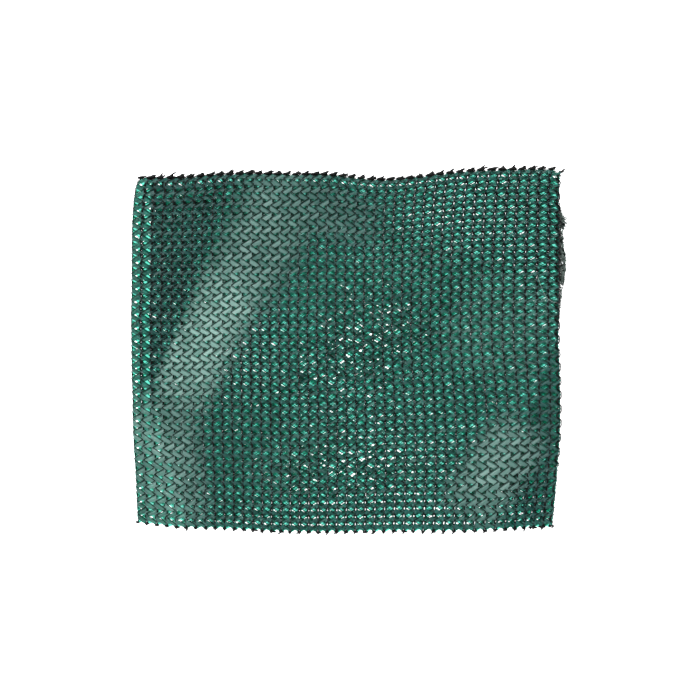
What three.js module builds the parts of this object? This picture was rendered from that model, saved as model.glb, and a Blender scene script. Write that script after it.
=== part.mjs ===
// A cut length of green knitted shade cloth, folded to three layers and lying flat.
// The cloth is one piece. Its section runs back and forth across the width, and every fold is
// parallel to the wales, the knitted columns, which run along Y. Sizes are in millimetres, +Z up.
import * as THREE from 'three';

// The cloth and how closely its layers lie.
const clothThickness = 1.0;
const layerPitch = 1.5;
const turnLength = (Math.PI * layerPitch) / 2;

// Plan of the folded piece: one row for each height, as a share of the way from the lower cut
// edge to the upper one. leftFold and rightFold are the two long edges of the top layer, and
// backEdge is the edge of the bottom layer, which comes out from under the right fold.
const sideRows = [
  { height: 0.0, leftFold: -90.1, rightFold: 86.6, backEdge: 86.0 },
  { height: 0.14, leftFold: -91.0, rightFold: 88.5, backEdge: 88.0 },
  { height: 0.28, leftFold: -92.1, rightFold: 89.8, backEdge: 89.2 },
  { height: 0.42, leftFold: -92.4, rightFold: 89.7, backEdge: 89.2 },
  { height: 0.52, leftFold: -92.5, rightFold: 89.1, backEdge: 88.9 },
  { height: 0.6, leftFold: -92.7, rightFold: 89.1, backEdge: 89.6 },
  { height: 0.67, leftFold: -92.4, rightFold: 89.2, backEdge: 91.2 },
  { height: 0.75, leftFold: -92.3, rightFold: 89.2, backEdge: 92.6 },
  { height: 0.81, leftFold: -92.3, rightFold: 89.3, backEdge: 91.1 },
  { height: 0.86, leftFold: -92.2, rightFold: 89.4, backEdge: 91.6 },
  { height: 0.9, leftFold: -91.8, rightFold: 89.3, backEdge: 90.2 },
  { height: 0.95, leftFold: -91.1, rightFold: 89.2, backEdge: 89.2 },
  { height: 0.985, leftFold: -90.3, rightFold: 89.8, backEdge: 89.0 },
  { height: 1.0, leftFold: -88.9, rightFold: 90.2, backEdge: 89.0 },
];

// The two cut edges: one row for each place across, as a share of the way from the left fold to
// the right one.
const cutRows = [
  { across: 0.0, lower: -72.6, upper: 72.9 },
  { across: 0.1, lower: -74.7, upper: 73.3 },
  { across: 0.2, lower: -75.2, upper: 74.6 },
  { across: 0.27, lower: -75.8, upper: 75.0 },
  { across: 0.35, lower: -76.6, upper: 74.6 },
  { across: 0.45, lower: -76.8, upper: 74.5 },
  { across: 0.56, lower: -76.6, upper: 72.5 },
  { across: 0.63, lower: -76.4, upper: 73.0 },
  { across: 0.71, lower: -76.4, upper: 74.8 },
  { across: 0.8, lower: -76.3, upper: 76.4 },
  { across: 0.9, lower: -75.4, upper: 76.8 },
  { across: 0.97, lower: -74.4, upper: 76.8 },
  { across: 1.0, lower: -74.0, upper: 75.3 },
];

// The inner layer ends near the left fold. Its skew cut end is turned back over it in the upper
// part, as a flap that narrows downwards: turn is the share of a half turn, reach the flap's width.
const innerEndRows = [
  { height: 0.0, edge: -67.0, turn: 0.0, reach: 0.5 },
  { height: 0.2, edge: -76.0, turn: 0.0, reach: 0.5 },
  { height: 0.32, edge: -80.5, turn: 0.0, reach: 0.5 },
  { height: 0.36, edge: -82.0, turn: 0.35, reach: 0.5 },
  { height: 0.4, edge: -83.0, turn: 0.7, reach: 0.5 },
  { height: 0.44, edge: -83.4, turn: 1.0, reach: 2.5 },
  { height: 0.6, edge: -83.6, turn: 1.0, reach: 13.0 },
  { height: 0.8, edge: -83.6, turn: 1.0, reach: 24.5 },
  { height: 1.0, edge: -83.4, turn: 1.0, reach: 36.5 },
];

// The bottom layer's skew cut end is turned back over it in the lower part, and lies open above.
const backEndRows = [
  { height: 0.0, turn: 1.0, reach: 8.0 },
  { height: 0.06, turn: 1.0, reach: 14.0 },
  { height: 0.125, turn: 1.0, reach: 26.0 },
  { height: 0.25, turn: 1.0, reach: 15.0 },
  { height: 0.335, turn: 1.0, reach: 11.0 },
  { height: 0.46, turn: 1.0, reach: 4.0 },
  { height: 0.5, turn: 1.0, reach: 1.0 },
  { height: 0.54, turn: 0.4, reach: 0.5 },
  { height: 0.58, turn: 0.0, reach: 0.5 },
  { height: 1.0, turn: 0.0, reach: 0.5 },
];

// Soft swells that hold the top layer off the one below.
const swellRows = [
  { x: -38, y: 40, long: 34, wide: 12, angle: 70, rise: 1.1 },
  { x: -40, y: -8, long: 26, wide: 11, angle: 115, rise: 0.9 },
  { x: 6, y: -6, long: 40, wide: 26, angle: 20, rise: 1.2 },
  { x: 56, y: 42, long: 44, wide: 15, angle: 25, rise: 2.2 },
  { x: 84, y: 20, long: 60, wide: 9, angle: 90, rise: 1.3 },
  { x: -92, y: 0, long: 60, wide: 5, angle: 90, rise: 0.9 },
  { x: 20, y: -56, long: 46, wide: 14, angle: 5, rise: 0.8 },
  { x: 62, y: 74, long: 30, wide: 8, angle: 0, rise: 1.0 },
];
const innerShareOfSwell = 0.35;
const edgeClearance = 1.4;
const drapeLength = 10;
const endDrapeLength = 5;
const farFromEdge = 1000;

// How finely the cloth is divided: lengthwise rows, and stations along each part of its section.
const rowCount = 26;
const stationCounts = { innerFlap: 6, turn: 6, inner: 27, top: 36, leftTurn: 8, bottom: 12, backFlap: 5 };
// How much closer the stations of a layer lie near its two ends, where it drapes over the flaps.
const closerAtEnds = 0.5;

const clamp = (value, low, high) => Math.min(Math.max(value, low), high);

const mix = (from, to, share) => from + (to - from) * share;

function smoothStep(from, to, value) {
  const share = clamp((value - from) / (to - from), 0, 1);
  return share * share * (3 - 2 * share);
}

// A smooth curve through one column of a table.
function readTable(rows, key, column, at) {
  const last = rows.length - 1;
  let index = 0;
  while (index < last - 1 && at > rows[index + 1][key]) index += 1;
  const slope = (k) => {
    const before = rows[Math.max(k - 1, 0)];
    const after = rows[Math.min(k + 1, last)];
    return (after[column] - before[column]) / (after[key] - before[key]);
  };
  const [start, end] = [rows[index], rows[index + 1]];
  const span = end[key] - start[key];
  const t = clamp((at - start[key]) / span, 0, 1);
  const fromStart = (1 + 2 * t) * (1 - t) ** 2 * start[column] + t * (1 - t) ** 2 * span * slope(index);
  const fromEnd = t * t * (3 - 2 * t) * end[column] - t * t * (1 - t) * span * slope(index + 1);
  return fromStart + fromEnd;
}

// A straight line through one column of a table.
function readStraight(rows, key, column, at) {
  const last = rows.length - 1;
  let index = 0;
  while (index < last - 1 && at > rows[index + 1][key]) index += 1;
  const [start, end] = [rows[index], rows[index + 1]];
  return mix(start[column], end[column], clamp((at - start[key]) / (end[key] - start[key]), 0, 1));
}

const leftFold = (height) => readTable(sideRows, 'height', 'leftFold', height);
const rightFold = (height) => readTable(sideRows, 'height', 'rightFold', height);
const backEdge = (height) => readTable(sideRows, 'height', 'backEdge', height);

// The lengthwise place of a point: the rows of the knitting follow both cut edges.
function alongY(x, height) {
  const across = clamp((x - leftFold(height)) / (rightFold(height) - leftFold(height)), 0, 1);
  const lower = readTable(cutRows, 'across', 'lower', across);
  return mix(lower, readTable(cutRows, 'across', 'upper', across), height);
}

// The end of the inner layer at this height, and the far edge of its flap.
function innerEnd(height) {
  const edge = readTable(innerEndRows, 'height', 'edge', height);
  const turn = clamp(readStraight(innerEndRows, 'height', 'turn', height), 0, 1);
  const reach = readStraight(innerEndRows, 'height', 'reach', height);
  return { edge, turn, reach };
}

// The end of the bottom layer at this height. An open end lies straight out to the back edge.
function backEnd(height) {
  const turn = clamp(readStraight(backEndRows, 'height', 'turn', height), 0, 1);
  const reach = readStraight(backEndRows, 'height', 'reach', height);
  const bulge = mix(turnLength + reach, layerPitch / 2 + clothThickness / 2, turn);
  return { edge: backEdge(height) - bulge, turn, reach };
}

function swell(x, y) {
  let rise = 0;
  for (const row of swellRows) {
    const angle = THREE.MathUtils.degToRad(row.angle);
    const along = (x - row.x) * Math.cos(angle) + (y - row.y) * Math.sin(angle);
    const aside = (y - row.y) * Math.cos(angle) - (x - row.x) * Math.sin(angle);
    rise += row.rise * Math.exp(-((along / row.long) ** 2) - (aside / row.wide) ** 2);
  }
  return rise;
}

// Whether the back flap lies under this point, from 0 to 1 with the drape over its edge.
function overBackFlap(x, height) {
  const { edge, turn, reach } = backEnd(height);
  const flapEdge = turn > 0 ? edge - reach : farFromEdge;
  const lying = smoothStep(0.62, 0.57, height);
  return lying * smoothStep(flapEdge - edgeClearance - drapeLength, flapEdge - edgeClearance, x);
}

// Whether the inner layer lies under this point.
function overInner(x, height) {
  const outermost = innerEnd(height).edge - turnLength;
  return smoothStep(outermost - edgeClearance - endDrapeLength, outermost - edgeClearance, x);
}

// Whether the inner layer's flap lies under this point.
function overInnerFlap(x, height) {
  const { edge, reach } = innerEnd(height);
  const flapEdge = edge + reach + edgeClearance;
  const lying = smoothStep(0.28, 0.33, height);
  return lying * overInner(x, height) * smoothStep(flapEdge + drapeLength, flapEdge, x);
}

// Heights of the middle of each layer.
const bottomZ = () => clothThickness / 2;

function innerZ(x, height) {
  const lifted = innerShareOfSwell * swell(x, alongY(x, height));
  return bottomZ() + layerPitch * (1 + overBackFlap(x, height)) + lifted;
}

function topZ(x, height) {
  const layersBelow = 1 + overBackFlap(x, height) + overInner(x, height) + overInnerFlap(x, height);
  return bottomZ() + layerPitch * layersBelow + swell(x, alongY(x, height));
}

const place = (x, z, height) => new THREE.Vector3(x, alongY(x, height), z);

// A layer between two places across, without its last station, which starts the next part.
function layerStations(from, to, count, layerZ, height) {
  const stations = [];
  for (let step = 0; step < count; step += 1) {
    const even = step / count;
    const x = mix(from, to, mix(even, (1 - Math.cos(Math.PI * even)) / 2, closerAtEnds));
    stations.push(place(x, layerZ(x, height), height));
  }
  return stations;
}

// A fold from one layer to another at the same edge, as half an ellipse. side is 1 to the right.
function foldStations(edge, side, fromZ, toZ, count, height) {
  const bulge = Math.min(Math.abs(toZ - fromZ) / 2, layerPitch);
  const base = edge - side * (bulge + clothThickness / 2);
  const stations = [];
  for (let step = 0; step < count; step += 1) {
    const angle = (Math.PI * step) / count;
    const x = base + side * bulge * Math.sin(angle);
    const z = mix(fromZ, toZ, (1 - Math.cos(angle)) / 2);
    stations.push(place(x, z, height));
  }
  return stations;
}

// Where a fold of this rise starts, for a layer that runs into it.
function foldBase(edge, side, fromZ, toZ) {
  return edge - side * (Math.min(Math.abs(toZ - fromZ) / 2, layerPitch) + clothThickness / 2);
}

// A layer's end that turns up and back over the layer by a share of a half turn, then runs on
// as the flap. side is 1 for an end at the right. The first station is the layer's own.
function endStations(end, side, layerZ, flapCount, height) {
  const stations = [];
  const whole = Math.PI * end.turn;
  let [x, rise] = [end.edge, 0];
  const add = () => stations.push(place(x, layerZ(x, height) + rise, height));
  const forward = (angle, length) => {
    x += side * length * Math.cos(angle);
    rise += length * Math.sin(angle);
  };
  add();
  for (let step = 0; step < stationCounts.turn; step += 1) {
    forward((whole * (step + 0.5)) / stationCounts.turn, turnLength / stationCounts.turn);
    add();
  }
  for (let step = 0; step < flapCount; step += 1) {
    forward(whole, end.reach / flapCount);
    add();
  }
  return stations;
}

// The middle line of the whole section at one height, from the inner flap to the back flap.
function sectionLine(height) {
  const [left, right] = [leftFold(height), rightFold(height)];
  const inner = innerEnd(height);
  const back = backEnd(height);
  const rightZ = [innerZ(right, height), topZ(right, height)];
  const leftZ = [topZ(left, height), bottomZ()];
  const rightBase = foldBase(right, 1, ...rightZ);
  const leftBase = foldBase(left, -1, ...leftZ);
  const rightZs = [innerZ(rightBase, height), topZ(rightBase, height)];
  const leftZs = [topZ(leftBase, height), bottomZ()];
  return [
    ...endStations(inner, -1, innerZ, stationCounts.innerFlap, height).reverse().slice(0, -1),
    ...layerStations(inner.edge, rightBase, stationCounts.inner, innerZ, height),
    ...foldStations(right, 1, ...rightZs, stationCounts.turn, height),
    ...layerStations(rightBase, leftBase, stationCounts.top, topZ, height),
    ...foldStations(left, -1, ...leftZs, stationCounts.leftTurn, height),
    ...layerStations(leftBase, back.edge, stationCounts.bottom, bottomZ, height),
    ...endStations(back, 1, bottomZ, stationCounts.backFlap, height),
  ];
}

// The closed skin of the cloth: its two faces half a thickness from the middle line, and its rim.
function clothGeometry() {
  const lines = [];
  for (let row = 0; row < rowCount; row += 1) {
    lines.push(sectionLine(row / (rowCount - 1)));
  }
  const stationCount = lines[0].length;
  const at = (row, station) => lines[clamp(row, 0, rowCount - 1)][clamp(station, 0, stationCount - 1)];
  const positions = [];
  for (const side of [-1, 1]) {
    for (let row = 0; row < rowCount; row += 1) {
      for (let station = 0; station < stationCount; station += 1) {
        const across = at(row, station + 1).clone().sub(at(row, station - 1));
        const along = at(row + 1, station).clone().sub(at(row - 1, station));
        const normal = across.cross(along).normalize();
        const point = at(row, station).clone().addScaledVector(normal, (side * clothThickness) / 2);
        positions.push(point.x, point.y, point.z);
      }
    }
  }
  const faceSize = rowCount * stationCount;
  const indices = [];
  const quad = (a, b, c, d) => indices.push(a, b, c, a, c, d);
  const corner = (side, row, station) => side * faceSize + row * stationCount + station;
  for (let row = 0; row < rowCount - 1; row += 1) {
    for (let station = 0; station < stationCount - 1; station += 1) {
      quad(
        corner(1, row, station),
        corner(1, row, station + 1),
        corner(1, row + 1, station + 1),
        corner(1, row + 1, station),
      );
      quad(
        corner(0, row, station),
        corner(0, row + 1, station),
        corner(0, row + 1, station + 1),
        corner(0, row, station + 1),
      );
    }
  }
  const last = { row: rowCount - 1, station: stationCount - 1 };
  for (let station = 0; station < last.station; station += 1) {
    quad(corner(0, 0, station), corner(0, 0, station + 1), corner(1, 0, station + 1), corner(1, 0, station));
    quad(
      corner(0, last.row, station),
      corner(1, last.row, station),
      corner(1, last.row, station + 1),
      corner(0, last.row, station + 1),
    );
  }
  for (let row = 0; row < last.row; row += 1) {
    quad(corner(0, row, 0), corner(1, row, 0), corner(1, row + 1, 0), corner(0, row + 1, 0));
    quad(
      corner(0, row, last.station),
      corner(0, row + 1, last.station),
      corner(1, row + 1, last.station),
      corner(1, row, last.station),
    );
  }
  const geometry = new THREE.BufferGeometry();
  geometry.setAttribute('position', new THREE.Float32BufferAttribute(positions, 3));
  geometry.setIndex(indices);
  return geometry;
}

// The middle of the outline is put on the origin, and the lowest point on the ground.
function centred(geometry) {
  geometry.computeBoundingBox();
  const middle = geometry.boundingBox.getCenter(new THREE.Vector3());
  geometry.translate(-middle.x, -middle.y, -geometry.boundingBox.min.z);
  geometry.computeVertexNormals();
  return geometry;
}

const clothMaterial = new THREE.MeshStandardMaterial({ color: '#2f6f60', roughness: 0.55, metalness: 0 });

const cloth = new THREE.Mesh(centred(clothGeometry()), clothMaterial);
cloth.name = 'shade_cloth';

const group = new THREE.Group();
group.add(cloth);

export default group;
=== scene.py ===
# %% [markdown]
# # A folded piece of knitted shade cloth
# The real thing is a cut length of green shade net, folded back and forth into three layers.
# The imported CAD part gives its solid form: a thin sheet on the folds. This script knits the
# visible net on the same folds, thread by thread, in the same frame and in metres.

# %% Load the frame
import math

import bpy
import numpy as np
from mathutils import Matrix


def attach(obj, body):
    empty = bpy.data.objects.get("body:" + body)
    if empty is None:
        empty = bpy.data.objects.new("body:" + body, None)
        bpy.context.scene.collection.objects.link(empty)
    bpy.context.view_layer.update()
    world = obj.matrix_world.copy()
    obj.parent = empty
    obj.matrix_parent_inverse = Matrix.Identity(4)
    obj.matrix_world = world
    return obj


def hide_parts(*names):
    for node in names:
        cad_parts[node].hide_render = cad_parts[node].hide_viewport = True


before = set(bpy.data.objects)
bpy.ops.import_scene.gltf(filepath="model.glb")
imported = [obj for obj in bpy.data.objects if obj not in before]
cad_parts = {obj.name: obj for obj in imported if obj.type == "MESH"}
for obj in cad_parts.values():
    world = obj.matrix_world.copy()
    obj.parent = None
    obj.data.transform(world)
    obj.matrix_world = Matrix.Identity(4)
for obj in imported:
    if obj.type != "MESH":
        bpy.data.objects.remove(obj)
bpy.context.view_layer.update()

# %% [markdown]
# ## The real sizes
# A knitting machine of this kind has 6 needles to the inch. Each needle makes a wale, a column
# of chain stitches, and each turn of the machine makes a course, a row. A flat tape is laid in
# zigzag between each two wales, one slanting leg to a course. All sizes are in millimetres here
# and turned to metres when a mesh is made.

# %% Named sizes
MM = 0.001
WALES = 43
COURSES = 52
WALE_PITCH = 4.27
COURSE_PITCH = 2.93
TAPE_RISE = 1.52
RELAXED_RISE = 2.35
TAPE_ROLL = 0.05
CHAIN_RADIUS = 0.3
KNOT_RADIUS = 0.21
FILAMENT_RADIUS = 0.16
CLOTH_THICKNESS = 1.0
LAYER_PITCH = 1.5
TURN_LENGTH = math.pi * LAYER_PITCH / 2
TINY = 1e-9
SEED = 7
rng = np.random.default_rng(SEED)

# %% [markdown]
# ## The plan of the folded piece
# The outline comes from two short tables: where the long edges lie at each height, and where
# the two cut edges lie at each place across. A smooth curve through a table's column gives the
# edge. They say the same as the solid's own tables, so the net lies on the solid's folds.

# %% Outline tables and the curve through them
SIDE_ROWS = [
    # height, left fold, right fold, edge of the bottom layer
    (0.0, -90.1, 86.6, 86.0),
    (0.14, -91.0, 88.5, 88.0),
    (0.28, -92.1, 89.8, 89.2),
    (0.42, -92.4, 89.7, 89.2),
    (0.52, -92.5, 89.1, 88.9),
    (0.6, -92.7, 89.1, 89.6),
    (0.67, -92.4, 89.2, 91.2),
    (0.75, -92.3, 89.2, 92.6),
    (0.81, -92.3, 89.3, 91.1),
    (0.86, -92.2, 89.4, 91.6),
    (0.9, -91.8, 89.3, 90.2),
    (0.95, -91.1, 89.2, 89.2),
    (0.985, -90.3, 89.8, 89.0),
    (1.0, -88.9, 90.2, 89.0),
]
CUT_ROWS = [
    # share of the way across, lower cut edge, upper cut edge
    (0.0, -72.6, 72.9),
    (0.1, -74.7, 73.3),
    (0.2, -75.2, 74.6),
    (0.27, -75.8, 75.0),
    (0.35, -76.6, 74.6),
    (0.45, -76.8, 74.5),
    (0.56, -76.6, 72.5),
    (0.63, -76.4, 73.0),
    (0.71, -76.4, 74.8),
    (0.8, -76.3, 76.4),
    (0.9, -75.4, 76.8),
    (0.97, -74.4, 76.8),
    (1.0, -74.0, 75.3),
]
INNER_END_ROWS = [
    # height, edge of the inner layer, share of a half turn, width of its flap
    (0.0, -67.0, 0.0, 0.5),
    (0.2, -76.0, 0.0, 0.5),
    (0.32, -80.5, 0.0, 0.5),
    (0.36, -82.0, 0.35, 0.5),
    (0.4, -83.0, 0.7, 0.5),
    (0.44, -83.4, 1.0, 2.5),
    (0.6, -83.6, 1.0, 13.0),
    (0.8, -83.6, 1.0, 24.5),
    (1.0, -83.4, 1.0, 36.5),
]
BACK_END_ROWS = [
    # height, share of a half turn, width of the turned-back flap
    (0.0, 1.0, 8.0),
    (0.06, 1.0, 14.0),
    (0.125, 1.0, 26.0),
    (0.25, 1.0, 15.0),
    (0.335, 1.0, 11.0),
    (0.46, 1.0, 4.0),
    (0.5, 1.0, 1.0),
    (0.54, 0.4, 0.5),
    (0.58, 0.0, 0.5),
    (1.0, 0.0, 0.5),
]
SWELL_ROWS = [
    # x, y, half length, half width, angle in degrees, rise
    (-38, 40, 34, 12, 70, 1.1),
    (-40, -8, 26, 11, 115, 0.9),
    (6, -6, 40, 26, 20, 1.2),
    (56, 42, 44, 15, 25, 2.2),
    (84, 20, 60, 9, 90, 1.3),
    (-92, 0, 60, 5, 90, 0.9),
    (20, -56, 46, 14, 5, 0.8),
    (62, 74, 30, 8, 0, 1.0),
]
INNER_SHARE_OF_SWELL = 0.35
EDGE_CLEARANCE = 1.4
DRAPE_LENGTH = 10.0
END_DRAPE_LENGTH = 5.0
NO_FLAP = 1000.0
BACK_FLAP_TO, BACK_FLAP_FULL = 0.62, 0.57
INNER_FLAP_FROM, INNER_FLAP_FULL = 0.28, 0.33


def curve_through(rows, column, at):
    """A smooth curve through one column of a table, read at one place or many."""
    table = np.array(rows, float)
    key, value = table[:, 0], table[:, column]
    before = np.maximum(np.arange(len(key)) - 1, 0)
    after = np.minimum(np.arange(len(key)) + 1, len(key) - 1)
    slope = (value[after] - value[before]) / (key[after] - key[before])
    i = np.clip(np.searchsorted(key, at, side="left") - 1, 0, len(key) - 2)
    span = key[i + 1] - key[i]
    t = np.clip((at - key[i]) / span, 0, 1)
    start = (1 + 2 * t) * (1 - t) ** 2 * value[i] + t * (1 - t) ** 2 * span * slope[i]
    end = t * t * (3 - 2 * t) * value[i + 1] - t * t * (1 - t) * span * slope[i + 1]
    return start + end


def line_through(rows, column, at):
    """Straight lines through one column of a table."""
    table = np.array(rows, float)
    return np.interp(at, table[:, 0], table[:, column])


def smooth_step(start, end, value):
    """A soft change from 0 at start to 1 at end."""
    t = np.clip((value - start) / (end - start), 0, 1)
    return t * t * (3 - 2 * t)


def left_fold(height):
    """The x of the left fold."""
    return curve_through(SIDE_ROWS, 1, height)


def right_fold(height):
    """The x of the right fold."""
    return curve_through(SIDE_ROWS, 2, height)


def back_edge(height):
    """The x of the bottom layer's cut edge."""
    return curve_through(SIDE_ROWS, 3, height)


def share_across(x, height):
    """How far across the piece x is, from 0 at the left fold to 1 at the right one."""
    return (x - left_fold(height)) / (right_fold(height) - left_fold(height))


def along_y(x, height):
    """The lengthwise place: the courses follow both cut edges, and go on straight past them."""
    inside = np.clip(height, 0, 1)
    across = np.clip(share_across(x, inside), 0, 1)
    lower = curve_through(CUT_ROWS, 1, across)
    upper = curve_through(CUT_ROWS, 2, across)
    return lower + (upper - lower) * height


print("outline", left_fold(0.5), right_fold(0.5), along_y(0.0, 0.0), along_y(0.0, 1.0))

# %% [markdown]
# ## Where each layer lies
# The layers lie one cloth thickness and a little air apart. A layer rises where a turned-in
# flap lies under it and drapes down over the flap's edge, and broad soft swells hold the top
# layer off the rest. These are the main creases, listed in millimetres.

# %% Heights of the layers


def along_and_aside(x, y, centre_x, centre_y, degrees):
    """A place seen from the middle of a long patch: how far along it, and how far aside."""
    angle = math.radians(degrees)
    along = (x - centre_x) * math.cos(angle) + (y - centre_y) * math.sin(angle)
    aside = (y - centre_y) * math.cos(angle) - (x - centre_x) * math.sin(angle)
    return along, aside


def swell(x, y):
    """How far the top layer is lifted here."""
    rise = np.zeros(np.broadcast(x, y).shape)
    for centre_x, centre_y, long, wide, degrees, height in SWELL_ROWS:
        along, aside = along_and_aside(x, y, centre_x, centre_y, degrees)
        rise += height * np.exp(-((along / long) ** 2) - (aside / wide) ** 2)
    return rise


def inner_end(height):
    """Where the inner layer turns under: its edge, the share of a half turn and the flap."""
    edge = curve_through(INNER_END_ROWS, 1, height)
    return edge, line_through(INNER_END_ROWS, 2, height), line_through(INNER_END_ROWS, 3, height)


def back_end(height):
    """Where the bottom layer turns back over itself: the same three values."""
    turn = line_through(BACK_END_ROWS, 1, height)
    reach = line_through(BACK_END_ROWS, 2, height)
    open_length = TURN_LENGTH + reach
    folded_length = LAYER_PITCH / 2 + CLOTH_THICKNESS / 2
    return back_edge(height) - open_length + (open_length - folded_length) * turn, turn, reach


def over_back_flap(x, height):
    """1 where the narrow triangle at the lower right lies below, 0 beside it."""
    edge, turn, reach = back_end(height)
    flap_edge = edge - reach if turn > 0 else NO_FLAP
    start = flap_edge - EDGE_CLEARANCE
    return smooth_step(BACK_FLAP_TO, BACK_FLAP_FULL, height) * smooth_step(start - DRAPE_LENGTH, start, x)


def over_inner(x, height):
    """1 where the inner layer lies below, 0 past its end."""
    start = inner_end(height)[0] - TURN_LENGTH - EDGE_CLEARANCE
    return smooth_step(start - END_DRAPE_LENGTH, start, x)


def over_inner_flap(x, height):
    """1 where the triangle at the upper left lies below, 0 beside it."""
    edge, _, reach = inner_end(height)
    flap_edge = edge + reach + EDGE_CLEARANCE
    lying = smooth_step(INNER_FLAP_FROM, INNER_FLAP_FULL, height) * over_inner(x, height)
    return lying * smooth_step(flap_edge + DRAPE_LENGTH, flap_edge, x)


def bottom_z(x, height):
    """The height of the bottom layer's middle."""
    return np.full(np.shape(x), CLOTH_THICKNESS / 2)


def inner_z(x, height):
    """The height of the inner layer's middle."""
    lifted = INNER_SHARE_OF_SWELL * swell(x, along_y(x, height))
    return CLOTH_THICKNESS / 2 + LAYER_PITCH * (1 + over_back_flap(x, height)) + lifted


def top_z(x, height):
    """The height of the top layer's middle."""
    below = 1 + over_back_flap(x, height) + over_inner(x, height) + over_inner_flap(x, height)
    return CLOTH_THICKNESS / 2 + LAYER_PITCH * below + swell(x, along_y(x, height))


print("top layer in the middle lies at", top_z(np.array([0.0]), 0.5), "mm")

# %% [markdown]
# ## The strip and its wales
# The cloth is one strip, knitted flat and folded afterwards, so every stitch has a place along
# the strip, counted in wales, and one up the strip, counted in courses. Wale 0 runs along the
# right fold: the inner layer and its flap lie before it, the top layer after it up to the left
# fold, and then the bottom layer and its flap. Columns are a little closer in the middle of the
# piece than at the right, where the net is pulled wider, and they bow a little there.

# %% Wales across the piece
PITCH_ROWS = [
    # share across, wale pitch beside the mean one
    (0.0, 1.04),
    (0.15, 1.0),
    (0.3, 0.96),
    (0.5, 0.935),
    (0.65, 0.975),
    (0.8, 1.04),
    (0.92, 1.12),
    (1.0, 1.14),
]
fine_share = np.linspace(0, 1, 400)
density = 1 / np.interp(fine_share, *np.array(PITCH_ROWS).T)
fine_wale = np.concatenate([[0], np.cumsum((density[1:] + density[:-1]) / 2)])
fine_wale *= WALES / fine_wale[-1]
BOW_ROWS = [
    # height, how far the wales at the right lie towards the fold, in wales
    (0.0, 0.62),
    (0.16, 0.56),
    (0.28, 0.36),
    (0.5, -0.06),
    (0.62, -0.1),
    (0.84, 0.05),
    (1.0, 0.45),
]
BOW_START, BOW_TOP = 0.4, 0.86


def wale_at(share, height):
    """The wale at a share of the way across, going on evenly past the right edge."""
    past = np.maximum(share - 1, 0) * WALES
    bow = smooth_step(BOW_START, BOW_TOP, share) * smooth_step(1.0, BOW_TOP, share)
    return np.interp(share, fine_share, fine_wale) + past - curve_through(BOW_ROWS, 1, height) * bow


print("wale in the middle", wale_at(0.5, 0.5))

# %% [markdown]
# ## The folded section
# At each height the middle line of the cloth is drawn as the solid has it: flap, inner layer,
# right fold, top layer, left fold, bottom layer, flap. Each point of the line knows its place
# along the strip, so the whole surface becomes one grid, and any stitch is found in it.

# %% The grid of the folded strip
STRIP_START = -52.0
STRIP_END = 2 * WALES + 9.0
PER_WALE = 12
GRID_ROWS = 157
FOLD_STEPS = 12
END_STEPS = 10
UNDER_POINTS = 160
TOP_POINTS = 240
ALMOST_ONE_CELL = 1.001


def turned_end(end, side, layer_z, height):
    """Points from a layer's end round its turn and out along its flap: x, z and distance."""
    edge, turn, reach = end
    whole = math.pi * turn
    x, rise, gone = float(edge), 0.0, 0.0
    points = [(x, rise, gone)]
    for step in range(END_STEPS):
        length = TURN_LENGTH / END_STEPS
        angle = whole * (step + 0.5) / END_STEPS
        x += side * length * math.cos(angle)
        rise += length * math.sin(angle)
        gone += length
        points.append((x, rise, gone))
    flap_steps = max(int(reach), 1)
    for step in range(flap_steps):
        length = reach / flap_steps
        x += side * length * math.cos(whole)
        rise += length * math.sin(whole)
        gone += length
        points.append((x, rise, gone))
    points = np.array(points)
    return points[:, 0], layer_z(points[:, 0], height) + points[:, 1], points[:, 2]


def fold_points(edge, side, layer_from, layer_to, height):
    """A fold as half an ellipse: x and z of its points, and the x where it leaves the layers."""
    gap = abs(float(layer_to(edge, height) - layer_from(edge, height)))
    base = edge - side * (min(gap / 2, LAYER_PITCH) + CLOTH_THICKNESS / 2)
    z_from, z_to = layer_from(base, height), layer_to(base, height)
    bulge = min(abs(float(z_to - z_from)) / 2, LAYER_PITCH)
    angle = math.pi * np.linspace(0, 1, FOLD_STEPS + 1)
    x = base + side * bulge * np.sin(angle)
    z = z_from + (z_to - z_from) * (1 - np.cos(angle)) / 2
    return x, z, float(base)


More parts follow.
